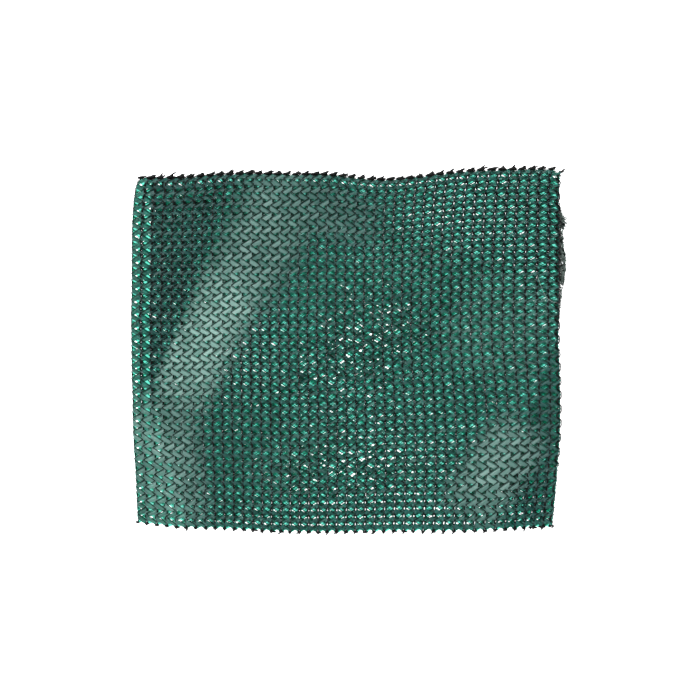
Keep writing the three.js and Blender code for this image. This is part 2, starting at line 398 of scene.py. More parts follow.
def section(height):
    """The folded line at one height: place along the strip, x and z."""
    right, left = float(right_fold(height)), float(left_fold(height))
    inner, back = inner_end(height), back_end(height)
    right_x, right_z, right_base = fold_points(right, 1, inner_z, top_z, height)
    left_x, left_z, left_base = fold_points(left, -1, top_z, bottom_z, height)
    base_wale_right = wale_at(share_across(right_base, height), height)
    base_wale_left = wale_at(share_across(left_base, height), height)
    turn = np.linspace(0, 1, FOLD_STEPS + 1)
    flap_x, flap_z, flap_gone = turned_end(inner, -1, inner_z, height)
    back_x, back_z, back_gone = turned_end(back, 1, bottom_z, height)
    inner_x = np.linspace(inner[0], right_base, UNDER_POINTS)
    top_x = np.linspace(right_base, left_base, TOP_POINTS)
    bottom_x = np.linspace(left_base, back[0], UNDER_POINTS)
    inner_wale = wale_at(share_across(inner_x, height), height) - WALES
    top_wale = WALES - wale_at(share_across(top_x, height), height)
    bottom_wale = WALES + wale_at(share_across(bottom_x, height), height)
    right_gap, left_gap = WALES - base_wale_right, base_wale_left
    parts = [
        ((inner_wale[0] - flap_gone / WALE_PITCH)[::-1], flap_x[::-1], flap_z[::-1]),
        (inner_wale[1:-1], inner_x[1:-1], inner_z(inner_x[1:-1], height)),
        (-right_gap + 2 * right_gap * turn, right_x, right_z),
        (top_wale[1:-1], top_x[1:-1], top_z(top_x[1:-1], height)),
        (WALES - left_gap + 2 * left_gap * turn, left_x, left_z),
        (bottom_wale[1:-1], bottom_x[1:-1], bottom_z(bottom_x[1:-1], height)),
        (bottom_wale[-1] + back_gone / WALE_PITCH, back_x, back_z),
    ]
    return [np.concatenate([np.atleast_1d(part[k]) for part in parts]) for k in range(3)]


strip_places = np.arange(STRIP_START, STRIP_END, 1 / PER_WALE)
grid_heights = np.linspace(0, 1, GRID_ROWS)
grid = np.zeros((GRID_ROWS, len(strip_places), 3))
strip_starts = np.zeros(GRID_ROWS)
strip_ends = np.zeros(GRID_ROWS)
for row, height in enumerate(grid_heights):
    place, line_x, line_z = section(height)
    strip_starts[row], strip_ends[row] = place[0], place[-1]
    grid[row, :, 0] = np.interp(strip_places, place, line_x)
    grid[row, :, 2] = np.interp(strip_places, place, line_z)
    grid[row, :, 1] = along_y(grid[row, :, 0], height)
grid_normals = np.cross(np.gradient(grid, axis=0), np.gradient(grid, axis=1))
lengths = np.linalg.norm(grid_normals, axis=2, keepdims=True)
grid_normals = grid_normals / np.maximum(lengths, TINY)
print("strip from", strip_starts.min().round(1), "to", strip_ends.max().round(1), "wales")


def from_grid(values, place, height):
    """Reads the grid between its points."""
    column = np.clip((place - STRIP_START) * PER_WALE, 0, values.shape[1] - ALMOST_ONE_CELL)
    row = np.clip(height * (GRID_ROWS - 1), 0, GRID_ROWS - ALMOST_ONE_CELL)
    i, j = row.astype(int), column.astype(int)
    u, v = (column - j)[..., None], (row - i)[..., None]
    low = values[i, j] * (1 - u) + values[i, j + 1] * u
    high = values[i + 1, j] * (1 - u) + values[i + 1, j + 1] * u
    return low * (1 - v) + high * v


# %% [markdown]
# ## Patches of the folded net
# The cloth turns over at each fold, so the zigzags of two neighbouring layers mirror each other
# and lens-shaped cells stay between them on each course line. The bottom layer lies about a
# third of a course lower and shows in the cells as one bright green thickness of tape. Where it
# drifts further the cells nearly close, and where the tapes have relaxed flat over the wales they
# lie wider and a pale sheen is painted on them. Such patches could come from settling the cloth,
# but they are surer placed one by one: each is a row of a table, in millimetres, with its place,
# its size and what it changes.

# %% Tables of patches
RELAXED_AND_PAINTED_SHEEN_ROWS = [
    # x, y, half length, half width, angle, strength of the painted sheen
    (-60, 6, 36, 14, 62, 0.95),
    (-37, 46, 32, 17, 62, 0.5),
    (-77, -44, 30, 15, 98, 0.6),
    (-18, 61, 32, 11, 165, 0.3),
    (62, -50, 22, 13, 55, 0.68),
]
OPEN_ROWS = [
    # x, y, half length, half width, angle, share of the drift that is left
    (62, 58, 38, 22, 160, 0.0),
    (30, -69, 62, 9, 0, 0.1),
    (34, -50, 24, 12, 0, 0.8),
    (-40, 6, 22, 10, 75, 0.8),
    (-90, 0, 90, 8, 90, 0.2),
]
PAINTED_HAZE_ROWS = [
    # x, y, half length, half width, angle, strength of the painted haze
    (64, 12, 26, 22, 60, 0.16),
    (-20, -46, 24, 16, 30, 0.09),
]
GLINT_ROWS = [
    # x, y, half length, half width, angle
    (4, -2, 30, 18, 55),
    (-4, -50, 26, 12, 0),
]
STRENGTH_COLUMN = 5
LOWEST_Y = -76.0
Y_SPAN = 151.0
FLAP_BORDER_SOFTNESS = 1.5
BARE_FROM, BARE_TO = -82.5, -84.5


def height_of(y):
    """The height of a place as a share of the piece, from its y."""
    return (y - LOWEST_Y) / Y_SPAN


def patch_of(row, x, y):
    """How far a place is inside the patch of one table row, from 0 to 1."""
    centre_x, centre_y, long, wide, degrees = row[:5]
    along, aside = along_and_aside(x, y, centre_x, centre_y, degrees)
    return np.exp(-((along / long) ** 4) - (aside / wide) ** 4)


def strongest_patch(rows, x, y, column=None):
    """The strongest patch of a table at a place, times one of its columns if one is named."""
    shares = [patch_of(row, x, y) * (1 if column is None else row[column]) for row in rows]
    return np.max(shares, axis=0)


def off_flap(x, y):
    """0 over the turned-in triangle at the upper left, 1 beside it."""
    height = np.clip(height_of(y), 0, 1)
    border = curve_through(INNER_END_ROWS, 1, height) + line_through(INNER_END_ROWS, 3, height)
    turned = line_through(INNER_END_ROWS, 2, height)
    beside = smooth_step(border - FLAP_BORDER_SOFTNESS, border + FLAP_BORDER_SOFTNESS, x)
    return 1 - turned * (1 - beside)


def relaxed_at(x, y):
    """How wide and flat the tapes lie, from 0 to 1."""
    return off_flap(x, y) * strongest_patch(RELAXED_AND_PAINTED_SHEEN_ROWS, x, y)


def drift_at(x, y):
    """How much of the drift between the layers is left, from 0 to 1."""
    left = np.ones(np.shape(x))
    for row in OPEN_ROWS:
        left = left * (1 - (1 - row[STRENGTH_COLUMN]) * patch_of(row, x, y))
    return left * (1 - relaxed_at(x, y))


def bare_at(x):
    """Where the inner layer has ended, beside the left fold."""
    return smooth_step(BARE_FROM, BARE_TO, x)


print("relaxed in the pale band", relaxed_at(-60.0, 6.0), "and in the middle", relaxed_at(0.0, 0.0))

# %% [markdown]
# ## Finding a stitch
# Every thread asks one function where a point of the knitting lies: so many wales along the
# strip, so many courses up, and so far over the cloth's middle. The function adds how far an
# under layer has slipped along its wales, and bows the courses as they bow in the folded piece.

# %% The place of a stitch
INNER_DRIFT = 0.04
BOTTOM_SHIFT = -0.3
BOTTOM_DRIFT = -0.15
BARE_SHIFT = -0.5
WAVINESS = 0.04
WAVE_ACROSS, WAVE_UP, WAVE_SLANT = 17, 13, 29
WAVE_START = 1.1
FOLD_BLEND = 3
CUT_STILL, CUT_FREE = 0.01, 0.04
LEFT_BOW, RIGHT_BOW = 0.024, 0.083
BOW_FROM, BOW_TO = 0.3, 0.65
END_SLACK = 0.1


def layer_shift(place, x, y):
    """How far a stitch of an under layer is moved along its wale, in courses."""
    inner = smooth_step(0, -FOLD_BLEND, place)
    bottom = smooth_step(WALES, WALES + FOLD_BLEND, place)
    left = drift_at(x, y)
    level = np.sin(x / WAVE_ACROSS + WAVE_START) * np.cos(y / WAVE_UP)
    waves = WAVINESS * (level + np.sin((x + 2 * y) / WAVE_SLANT))
    bottom_shift = BOTTOM_SHIFT + BOTTOM_DRIFT * left + BARE_SHIFT * bare_at(x) - waves
    return inner * left * (INNER_DRIFT + waves) + bottom * bottom_shift


def stitch_point(wale, course, lift, slack=1.0):
    """Where a point of the knitting lies: lift is its height over the cloth's middle, in mm."""
    wale, course, lift = np.broadcast_arrays(
        np.asarray(wale, float), np.asarray(course, float), np.asarray(lift, float)
    )
    rough = course / COURSES
    near = from_grid(grid, wale, np.clip(rough, 0, 1))
    across = np.clip(share_across(near[..., 0], np.clip(rough, 0, 1)), 0, 1)
    from_cut = smooth_step(-CUT_STILL, CUT_FREE, rough)
    from_cut = from_cut * smooth_step(1 + CUT_STILL, 1 - CUT_FREE, rough)
    shift = slack * from_cut * layer_shift(wale, near[..., 0], near[..., 1])
    shifted = rough + shift / COURSES
    bow = LEFT_BOW + RIGHT_BOW * smooth_step(BOW_FROM, BOW_TO, across)
    height = shifted + bow * shifted * (1 - shifted)
    inside = np.clip(height, 0, 1)
    point = from_grid(grid, wale, inside).copy()
    point[..., 1] += (height - inside) * COURSES * COURSE_PITCH
    normal = from_grid(grid_normals, wale, inside)
    return point + normal * lift[..., None]


def inside_strip(wale, course):
    """Whether a point of the knitting lies between the two skew cut ends."""
    height = np.clip(np.asarray(course, float) / COURSES, 0, 1)
    start = np.interp(height, grid_heights, strip_starts)
    end = np.interp(height, grid_heights, strip_ends)
    return (wale >= start - END_SLACK) & (wale <= end + END_SLACK)


print("a stitch of the top layer", stitch_point(20.0, 26.0, 0.0).round(2))

# %% [markdown]
# ## Making meshes from arrays
# Thousands of stitches are made as a few joined meshes. A thread is a three-sided tube swept
# along its points, and a tape is a ribbon with several lines across, so that it can be arched
# and folded. Numpy makes all the points at once, and Blender takes them in one call.

# %% Helpers for meshes
STEEP = 0.9
FIRST_CORNER = 0.25


def make_mesh(name, points, faces, uv=None, tones=None):
    """One object from arrays of points in millimetres and four-cornered faces."""
    mesh = bpy.data.meshes.new(name)
    mesh.vertices.add(len(points))
    mesh.vertices.foreach_set("co", (points * MM).astype(np.float32).ravel())
    mesh.loops.add(faces.size)
    mesh.loops.foreach_set("vertex_index", faces.astype(np.int32).ravel())
    mesh.polygons.add(len(faces))
    mesh.polygons.foreach_set("loop_start", np.arange(0, faces.size, faces.shape[1], dtype=np.int32))
    mesh.polygons.foreach_set("use_smooth", np.ones(len(faces), bool))
    if uv is not None:
        layer = mesh.uv_layers.new(name="along")
        layer.data.foreach_set("uv", uv[faces.ravel()].astype(np.float32).ravel())
    for tone_name, values in (tones or {}).items():
        layer = mesh.attributes.new(tone_name, "FLOAT", "POINT")
        layer.data.foreach_set("value", values.astype(np.float32))
    mesh.update(calc_edges=True)
    mesh.validate()
    piece = bpy.data.objects.new(name, mesh)
    bpy.context.scene.collection.objects.link(piece)
    triangles = sum(len(polygon.vertices) - 2 for polygon in mesh.polygons)
    print(name, "has", triangles, "triangles")
    return piece


def tube_arrays(lines, radius, sides=3):
    """Points and faces of tubes along lines, an array of line, point and x, y, z."""
    count, steps, _ = lines.shape
    along = np.gradient(lines, axis=1)
    along /= np.maximum(np.linalg.norm(along, axis=2, keepdims=True), TINY)
    up = np.zeros_like(along)
    up[..., 2] = 1.0
    steep = np.abs(along[..., 2]) > STEEP
    up[steep] = (1.0, 0.0, 0.0)
    aside = np.cross(along, up)
    aside /= np.maximum(np.linalg.norm(aside, axis=2, keepdims=True), TINY)
    over = np.cross(aside, along)
    angles = 2 * math.pi * (np.arange(sides) + FIRST_CORNER) / sides
    radius = np.broadcast_to(np.asarray(radius, float), (count, steps))[..., None, None]
    ring = aside[:, :, None] * np.cos(angles)[:, None] + over[:, :, None] * np.sin(angles)[:, None]
    points = lines[:, :, None] + ring * radius
    index = np.arange(count * steps * sides).reshape(count, steps, sides)
    here, ahead = index[:, :-1], index[:, 1:]
    faces = np.stack([here, np.roll(here, -1, 2), np.roll(ahead, -1, 2), ahead], axis=-1)
    return points.reshape(-1, 3), faces.reshape(-1, 4)


def ribbon_arrays(sheets):
    """Points and faces of ribbons, from an array of ribbon, point along, point across, xyz."""
    count, steps, across, _ = sheets.shape
    index = np.arange(count * steps * across).reshape(count, steps, across)
    corners = [index[:, :-1, :-1], index[:, 1:, :-1], index[:, 1:, 1:], index[:, :-1, 1:]]
    return sheets.reshape(-1, 3), np.stack(corners, axis=-1).reshape(-1, 4)


def joined(parts):
    """Several (points, faces, more per point) as one."""
    points, faces, extras, offset = [], [], [], 0
    for part_points, part_faces, *more in parts:
        points.append(part_points)
        faces.append(part_faces + offset)
        extras.append(more)
        offset += len(part_points)
    return [np.concatenate(points), np.concatenate(faces)] + [
        np.concatenate([more[k] for more in extras]) for k in range(len(extras[0]))
    ]


def own_of_each(values, like):
    """One value of each ribbon, given to all its points."""
    return np.broadcast_to(values, like.shape[:3]).ravel()


# %% [markdown]
# ## The tape
# The green of the net is a flat tape, slit from film, laid in zigzag between two wales. The
# machine folds it lengthwise as it pulls it in, so that a tape 3 mm wide covers under 2 mm, and
# it narrows where it turns round a chain. Each slanting leg is a ribbon here, with three strips
# across: two make the arched face, and the third is folded back under them. The legs are kept
# only between the two skew cut ends of the strip.

# %% Count the legs
first_wale = int(math.floor(strip_starts.min()))
last_wale = int(math.ceil(strip_ends.max()))
columns, rows = np.meshgrid(np.arange(first_wale, last_wale), np.arange(COURSES), indexing="ij")
columns, rows = columns.ravel(), rows.ravel()
kept = inside_strip(columns, rows + 0.5) & inside_strip(columns + 1, rows + 0.5)
columns, rows = columns[kept], rows[kept]
leg_count = len(columns)
leg_middle = stitch_point(columns + 0.5, rows + 0.5, 0.0)
leg_x, leg_y = leg_middle[:, 0], leg_middle[:, 1]
print("the tape has", leg_count, "legs between the cut ends")

# %% [markdown]
# ### How each leg lies
# No two stitches are alike. A leg is relaxed and wide in the patches where a pale sheen is
# painted, and looser in the patches that glint, where its film is creased. The tape of the bottom
# layer isn't pulled so hard: it lies opened out, one thickness of film, so the white floor shines through
# it.

# %% Looseness, width and opening of the legs
OPENED_SPREAD = 0.9
CLOSED_BY_DRIFT, CLOSED_BY_RELAXING = 0.25, 0.5
LOOSENESS = 2.2
relaxed = relaxed_at(leg_x, leg_y)[:, None, None]
drift = drift_at(leg_x, leg_y)[:, None, None]
loose = strongest_patch(GLINT_ROWS, leg_x, leg_y)
# six random values to a leg: for its width, course, arch, roll, one to spare, and wale
own = rng.normal(size=(leg_count, 6, 1, 1)) * (1 + LOOSENESS * loose)[:, None, None, None]
in_bottom_layer = (columns >= WALES)[:, None, None]
opened = in_bottom_layer * (1 - CLOSED_BY_DRIFT * drift - CLOSED_BY_RELAXING * relaxed)
spread = np.maximum(relaxed, bare_at(leg_x)[:, None, None])
spread = np.maximum(spread, OPENED_SPREAD * in_bottom_layer)
print("legs of the bottom layer", int(in_bottom_layer.sum()), "mean looseness", loose.mean().round(3))

# %% [markdown]
# ### The form of a leg
# A leg swings in a soft S from wale to wale, so that the cells beside it are wide lenses. Its
# lines across stand at shares of its half width, and its height over the cloth's middle makes
# it overlap the next one as a knitted tape does.

# %% Shape the legs
LEG_PLACES = np.array([0.0, 0.16, 0.5, 0.84, 1.0])
ACROSS_PLACES = np.array([-1.0, 0.0, 1.0, -0.9])
ACROSS_LIFTS = np.array([0.0, 0.12, 0.0, -0.10])
OPENED_EDGE = 0.5
LEG_SWING = 0.13
TURN_MARGIN = 0.06
RELAXED_MARGIN = -0.10
TURN_GATHER, RELAXED_GATHER = 0.30, 0.05
GATHER_POWER = 5
UNEVEN = {"width": 0.05, "course": 0.05, "arch": 0.4, "roll": 0.09, "wale": 0.02}
OVERLAP = 0.10
RELAXED_LIFT, RELAXED_OVERLAP = 0.2, 0.1
along_leg = LEG_PLACES[None, :, None]
bulge = np.sin(math.pi * along_leg)
swing = along_leg - LEG_SWING * (1 - relaxed) * np.sin(2 * math.pi * along_leg)
rising = ((rows % 2) == 0)[:, None, None]
margin = TURN_MARGIN + (RELAXED_MARGIN - TURN_MARGIN) * relaxed
run = margin + (1 - 2 * margin) * np.where(rising, swing, 1 - swing)
turn_gather = TURN_GATHER - (TURN_GATHER - RELAXED_GATHER) * relaxed
gather = 1 - turn_gather * np.abs(2 * along_leg - 1) ** GATHER_POWER
rise = (TAPE_RISE + (RELAXED_RISE - TAPE_RISE) * spread) * gather * (1 + UNEVEN["width"] * own[:, 0])
folded_line = np.arange(len(ACROSS_PLACES)) == 3
side = ACROSS_PLACES[None, None, :] + (OPENED_EDGE - ACROSS_PLACES[3]) * opened * folded_line
leg_wale = columns[:, None, None] + run + UNEVEN["wale"] * own[:, 5] * bulge
leg_course = rows[:, None, None] + along_leg + UNEVEN["course"] * own[:, 1] * bulge
leg_course = leg_course + side * rise / 2 / COURSE_PITCH
arch = ACROSS_LIFTS[None, None, :] * (1 + UNEVEN["arch"] * own[:, 2])
roll = (UNEVEN["roll"] * own[:, 3] + TAPE_ROLL) * side
overlap = OVERLAP * (2 * along_leg - 1) + RELAXED_LIFT * relaxed + RELAXED_OVERLAP * relaxed * run
legs = stitch_point(leg_wale, leg_course, overlap + arch + roll)
print("legs, points along, points across", legs.shape[:3])

# %% [markdown]
# ### Crossings
# Where a leg turns round its wale, it lies as a short bar across the chain, and these bars join
# the legs of a row into the dark bands between the rows of cells. They show on the top layer
# alone, so they are made there, one to a wale and course.

# %% Shape the crossings
CROSS_REACH = 0.24
CROSS_RISE = 1.35
CROSS_TILT = 0.06
CROSS_TAPER = 0.25
CROSS_LIFT, CROSS_DIP = 0.16, 0.12
CROSS_UNEVEN_RISE, CROSS_UNEVEN_LIFT = 0.12, 0.02
cross_wale, cross_row = np.meshgrid(np.arange(0, WALES + 1), np.arange(COURSES), indexing="ij")
cross_wale, cross_row = cross_wale.ravel()[:, None, None], cross_row.ravel()[:, None, None]
cross_along = np.array([-1.0, -0.35, 0.35, 1.0])[None, :, None]
cross_aside = np.array([-1.0, 1.0])[None, None, :]
cross_own = rng.normal(size=(cross_wale.size, 2, 1, 1))
cross_tilt = np.where(cross_row % 2 == 0, CROSS_TILT, -CROSS_TILT)
cross_rise = CROSS_RISE * (1 + CROSS_UNEVEN_RISE * cross_own[:, 0])
cross_rise = cross_rise * (1 - CROSS_TAPER * np.abs(cross_along))
crossings = stitch_point(
    cross_wale + CROSS_REACH * cross_along,
    cross_row + 0.5 + cross_tilt * cross_along + cross_aside * cross_rise / 2 / COURSE_PITCH,
    CROSS_LIFT - CROSS_DIP * np.abs(cross_along) + CROSS_UNEVEN_LIFT * cross_own[:, 1] * cross_aside,
)
print("crossings over the wales", len(crossings))

# %% [markdown]
# ### One mesh of tape
# The tape of all layers is one piece, because the cloth is one piece. Its UV map is the film
# itself, in millimetres across and along, with a step from tape to tape so that no two show the
# same streaks. Four values go with each point for the material: the tone of its leg, how much
# pale sheen is painted on it, whether the film lies folded double, and how creased it is.

# %% Join the tape
# painted haze: the least pale sheen painted on the tapes where the layers have drifted apart
LEAST_PAINTED_HAZE = 0.04
GLINT_EVERYWHERE = 0.4
FILM_PLACES = np.array([0.0, 1.0, 2.0, 3.9])
FILM_STEP = 17.0
CROSS_STEP, CROSS_ROW_STEP = 5.0, 3.0
leg_length = math.hypot(WALE_PITCH, COURSE_PITCH)
across_mm = FILM_PLACES[None, None, :] * TAPE_RISE / 2 + FILM_STEP * columns[:, None, None]
along_mm = along_leg * leg_length + leg_length * rows[:, None, None]
leg_uv = np.stack(np.broadcast_arrays(across_mm, along_mm), axis=-1).reshape(-1, 2)
leg_tone = own_of_each(rng.random((leg_count, 1, 1)), legs)
cross_across, cross_up = CROSS_STEP * cross_wale + cross_aside, CROSS_ROW_STEP * cross_row + cross_along
cross_uv = np.stack(np.broadcast_arrays(cross_across, cross_up), axis=-1).reshape(-1, 2)
cross_tone = own_of_each(rng.random((cross_wale.size, 1, 1)), crossings)
cross_folded = own_of_each(np.ones((cross_wale.size, 1, 1)), crossings)
tape_points, tape_faces, tape_uv, tape_tone, tape_folded = joined([
    (*ribbon_arrays(legs), leg_uv, leg_tone, own_of_each(1 - opened, legs)),
    (*ribbon_arrays(crossings), cross_uv, cross_tone, cross_folded),
])
tape_x, tape_y = tape_points[:, 0], tape_points[:, 1]
# Painted sheen: a paler front colour painted on the tapes, strong in the relaxed patches and weak where
# the layers have drifted apart.
painted_haze = np.maximum(strongest_patch(PAINTED_HAZE_ROWS, tape_x, tape_y, STRENGTH_COLUMN), LEAST_PAINTED_HAZE)
painted_haze = painted_haze * drift_at(tape_x, tape_y)
painted_sheen = off_flap(tape_x, tape_y) * strongest_patch(RELAXED_AND_PAINTED_SHEEN_ROWS, tape_x, tape_y, STRENGTH_COLUMN)
tape_tones = {
    "tone": tape_tone,
    "painted_sheen": np.maximum(painted_sheen, painted_haze),
    "folded": tape_folded,
    "glint": np.maximum(strongest_patch(GLINT_ROWS, tape_x, tape_y), GLINT_EVERYWHERE),
}
tape = make_mesh("tape", tape_points, tape_faces, tape_uv, tape_tones)

# %% [markdown]
# ## The chain stitches
# Each wale is a chain of long loops in black monofilament. From above, each course shows the two
# sides of a loop with a small eye between them, and between courses the loop dips under the next
# stitch. Two strands to a wale, parting once a course and meeting between, give just that. The
# chains of all layers keep their courses better than the tapes do, so their eyes line up and
# show as white dots. The wale on the right fold swings in and out of it, as the real one does.

# %% Knit the chains
CHAIN_SLACK = 0.2
FOLD_SWAY = 0.42
KNOT_APART = 0.035
EYE_APART, CLOSED_EYE = 0.095, 0.07
CHAIN_DIP, CHAIN_RISE = -0.16, 0.1
CLOSED_THINNER = 0.1
CHAIN_UNEVEN_WALE, CHAIN_UNEVEN_COURSE = 0.012, 0.02
TOP_POINTS_PER_COURSE = 6
UNDER_POINTS_PER_COURSE = 4


def fold_wave(course):
    """How far the thread along the right fold swings in from it, from 0 to 1."""
    return 0.5 - 0.5 * np.cos(math.pi * course)


def chain_lines(wales, per_course, seed):
    """The two strands of each wale, as arrays of line, point and xyz, with their radius."""
    steps = COURSES * per_course + 1
    course = np.linspace(0, COURSES, steps)[None, :]
    eye = 0.5 + 0.5 * np.cos(2 * math.pi * course)
    near = stitch_point(wales[:, None], course, 0.0)
    closed = drift_at(near[..., 0], near[..., 1])
    apart = KNOT_APART + (EYE_APART - CLOSED_EYE * closed) * eye**2
    jitter = np.random.default_rng(seed).normal(size=(len(wales), steps, 2))
    sway = FOLD_SWAY * fold_wave(course) * (wales[:, None] == 0)
    lines = []
    for hand in (-1, 1):
        place = wales[:, None] + hand * apart + CHAIN_UNEVEN_WALE * jitter[..., 0] + sway
        uneven_course = course + CHAIN_UNEVEN_COURSE * jitter[..., 1]
        lines.append(stitch_point(place, uneven_course, CHAIN_DIP + CHAIN_RISE * eye, CHAIN_SLACK))
    side_radius = CHAIN_RADIUS - CLOSED_THINNER * closed
    radius = side_radius + (KNOT_RADIUS - side_radius) * (1 - eye) ** 2
    return np.concatenate(lines), np.concatenate([radius, radius])


def chain_piece(name, wales, per_course, seed):
    """The chains of one layer as a piece, cut off at the strip's skew ends."""
    lines, radius = chain_lines(wales.astype(float), per_course, seed)
    inside = inside_strip(wales[:, None], np.linspace(0, COURSES, lines.shape[1])[None, :])
    points, faces = tube_arrays(lines, radius)
    sides = len(points) // (lines.shape[0] * lines.shape[1])
    shown = np.repeat(np.concatenate([inside, inside]).ravel(), sides)
    used, faces_left = np.unique(faces[shown[faces].all(axis=1)], return_inverse=True)
    return make_mesh(name, points[used], faces_left.reshape(-1, 4))


top_wales = np.arange(0, WALES + 1)
inner_wales = np.arange(first_wale, 0)
bottom_wales = np.arange(WALES + 1, last_wale + 1)
chain_top = chain_piece("chain_top", top_wales, TOP_POINTS_PER_COURSE, SEED + 1)
chain_inner = chain_piece("chain_inner", inner_wales, UNDER_POINTS_PER_COURSE, SEED + 2)
chain_bottom = chain_piece("chain_bottom", bottom_wales, UNDER_POINTS_PER_COURSE, SEED + 3)

# %% [markdown]
# ## The fine filament
# A thin black monofilament runs with the tape, from wale to wale along its edge, and draws the
# thin dark line between two chevrons. Along the right fold, one such thread shows as a row of
# black loops. It lies on the cloth, swinging in from the fold every second course.

# %% Knit the fine filament
FILAMENT_POINTS = 5
FILAMENT_BEHIND = 0.40
FILAMENT_UNEVEN = 0.03
FILAMENT_LIFT, FILAMENT_ARCH, RELAXED_FILAMENT_LIFT = 0.34, 0.1, 0.22
LOOP_START = 8
LOOP_LIFT = 0.5
LOOP_OUT = 0.05
LOOP_RADIUS = 0.3
share = np.linspace(0, 1, FILAMENT_POINTS)[None, :]
filament_bulge = np.sin(math.pi * share)
filament_own = rng.normal(size=(leg_count, 2, 1))
filament_wale = columns[:, None] + np.where(rising[:, :, 0], share, 1 - share)
filament_course = rows[:, None] + share + FILAMENT_BEHIND
filament_course = filament_course + FILAMENT_UNEVEN * filament_own[:, 0] * filament_bulge
filament_course = np.minimum(filament_course, COURSES + 0.1)
filament_lift = FILAMENT_LIFT + FILAMENT_ARCH * filament_bulge + RELAXED_FILAMENT_LIFT * relaxed[:, :, 0]
filament_lines = stitch_point(filament_wale, filament_course, filament_lift)
loop_course = np.linspace(LOOP_START, COURSES - 0.5, 8 * COURSES)
loop_line = stitch_point(FOLD_SWAY * fold_wave(loop_course) - LOOP_OUT, loop_course, LOOP_LIFT)
filament_points, filament_faces = joined([
    tube_arrays(filament_lines, FILAMENT_RADIUS),
    tube_arrays(loop_line[None], LOOP_RADIUS),
])
filament = make_mesh("filament", filament_points, filament_faces)

# %% [markdown]
# ## Cut ends
# Scissors went across the wales at the top and bottom, so each chain ends in two black stubs that
# lean over along the edge. Each set of stubs is a row of a table.

# %% Stubs at the cut edges
STUB_ROWS = [
    # at the top, start and lean along the edge in wales, reach in courses, radius
    (True, -0.28, 0.72, 0.16, 0.62),
    (True, -0.05, 0.5, 0.46, 0.42),
    (False, -0.2, 0.36, 0.12, 0.5),
    (False, 0.12, -0.2, 0.34, 0.34),
]
STUB_SEED = SEED + 20
STUB_TAPER = np.array([[0.5, 0.95, 1.0, 0.95, 0.55]])
STUB_SIDES = 5
STUB_LENGTH, STUB_UNEVEN_LENGTH = 0.8, 0.35
STUB_LIFT, STUB_DROOP = 0.2, 0.1
STUB_UNEVEN = 0.12
LEAN_POWER, STRAY_POWER = 1.2, 1.5


def stub_lines(wales, at_top, start, lean, reach, seed):
    """Short bent ends of the chains past a cut edge."""
    own_of_stub = np.random.default_rng(seed).normal(size=(len(wales), 3, 1))
    out = np.linspace(0, 1, STUB_TAPER.shape[1])[None, :]
    length = reach * (STUB_LENGTH + STUB_UNEVEN_LENGTH * np.abs(own_of_stub[:, 0]))
    course = (COURSES + out * length) if at_top else (-out * length)
    place = wales[:, None] + STUB_UNEVEN * own_of_stub[:, 1] * out**STRAY_POWER
    lift = STUB_LIFT + STUB_UNEVEN * own_of_stub[:, 2] * out - STUB_DROOP * out
    lines = stitch_point(place, course, lift)
    lines[..., 0] += (start + out**LEAN_POWER * lean) * WALE_PITCH
    return lines


all_wales = np.arange(first_wale + 1, last_wale).astype(float)
stub_parts = []
for number, (at_top, start, lean, reach, radius) in enumerate(STUB_ROWS):
    cut_wales = all_wales[inside_strip(all_wales, COURSES if at_top else 0)]
    lines = stub_lines(cut_wales, at_top, start, lean, reach, STUB_SEED + number)
    stub_parts.append(tube_arrays(lines, radius * STUB_TAPER, STUB_SIDES))
stub_points, stub_faces = joined(stub_parts)
stubs = make_mesh("cut_stubs", stub_points, stub_faces)

# %% [markdown]
# ## The frayed edge
# Where the bottom layer was cut along its length, beside the right fold, the tape has frayed into
# fine fibres. They stand in small bunches, two to a course, where the tapes end, with two longer
# tufts. Particles could do this, but a seeded array of short bent tubes is exact every time.

# %% Fringe
FRINGE_ROWS = [
    # height from, height to, how many, length, spread along the edge, reach out from it
    (0.55, 0.90, 1700, 1.5, 1.0, 0.5),
    (0.69, 0.81, 1100, 1.2, 1.2, 0.4),
    (0.845, 0.88, 170, 2.2, 0.9, 1.1),
    (0.80, 0.82, 60, 1.9, 0.8, 1.1),
    (0.10, 0.55, 420, 0.9, 0.8, 0.6),
]
BUNCHES_PER_COURSE = 2
BUNCH_WIDTH, BUNCH_STRAY = 0.3, 0.07
ROOT_INSIDE, LEAST_ROOT_BAND = 0.5, 0.4
LOWEST_ROOT, HIGHEST_ROOT = 0.3, 1.6
HEADING_SPREAD, CURL_SPREAD, RISE_SPREAD = 1.1, 0.9, 0.5
SHORTEST, LONGEST = 0.3, 1.15
FIBRE_POINTS = 4
FIBRE_RADIUS = 0.1
fibre_rng = np.random.default_rng(SEED + 40)
fibre_lines = []
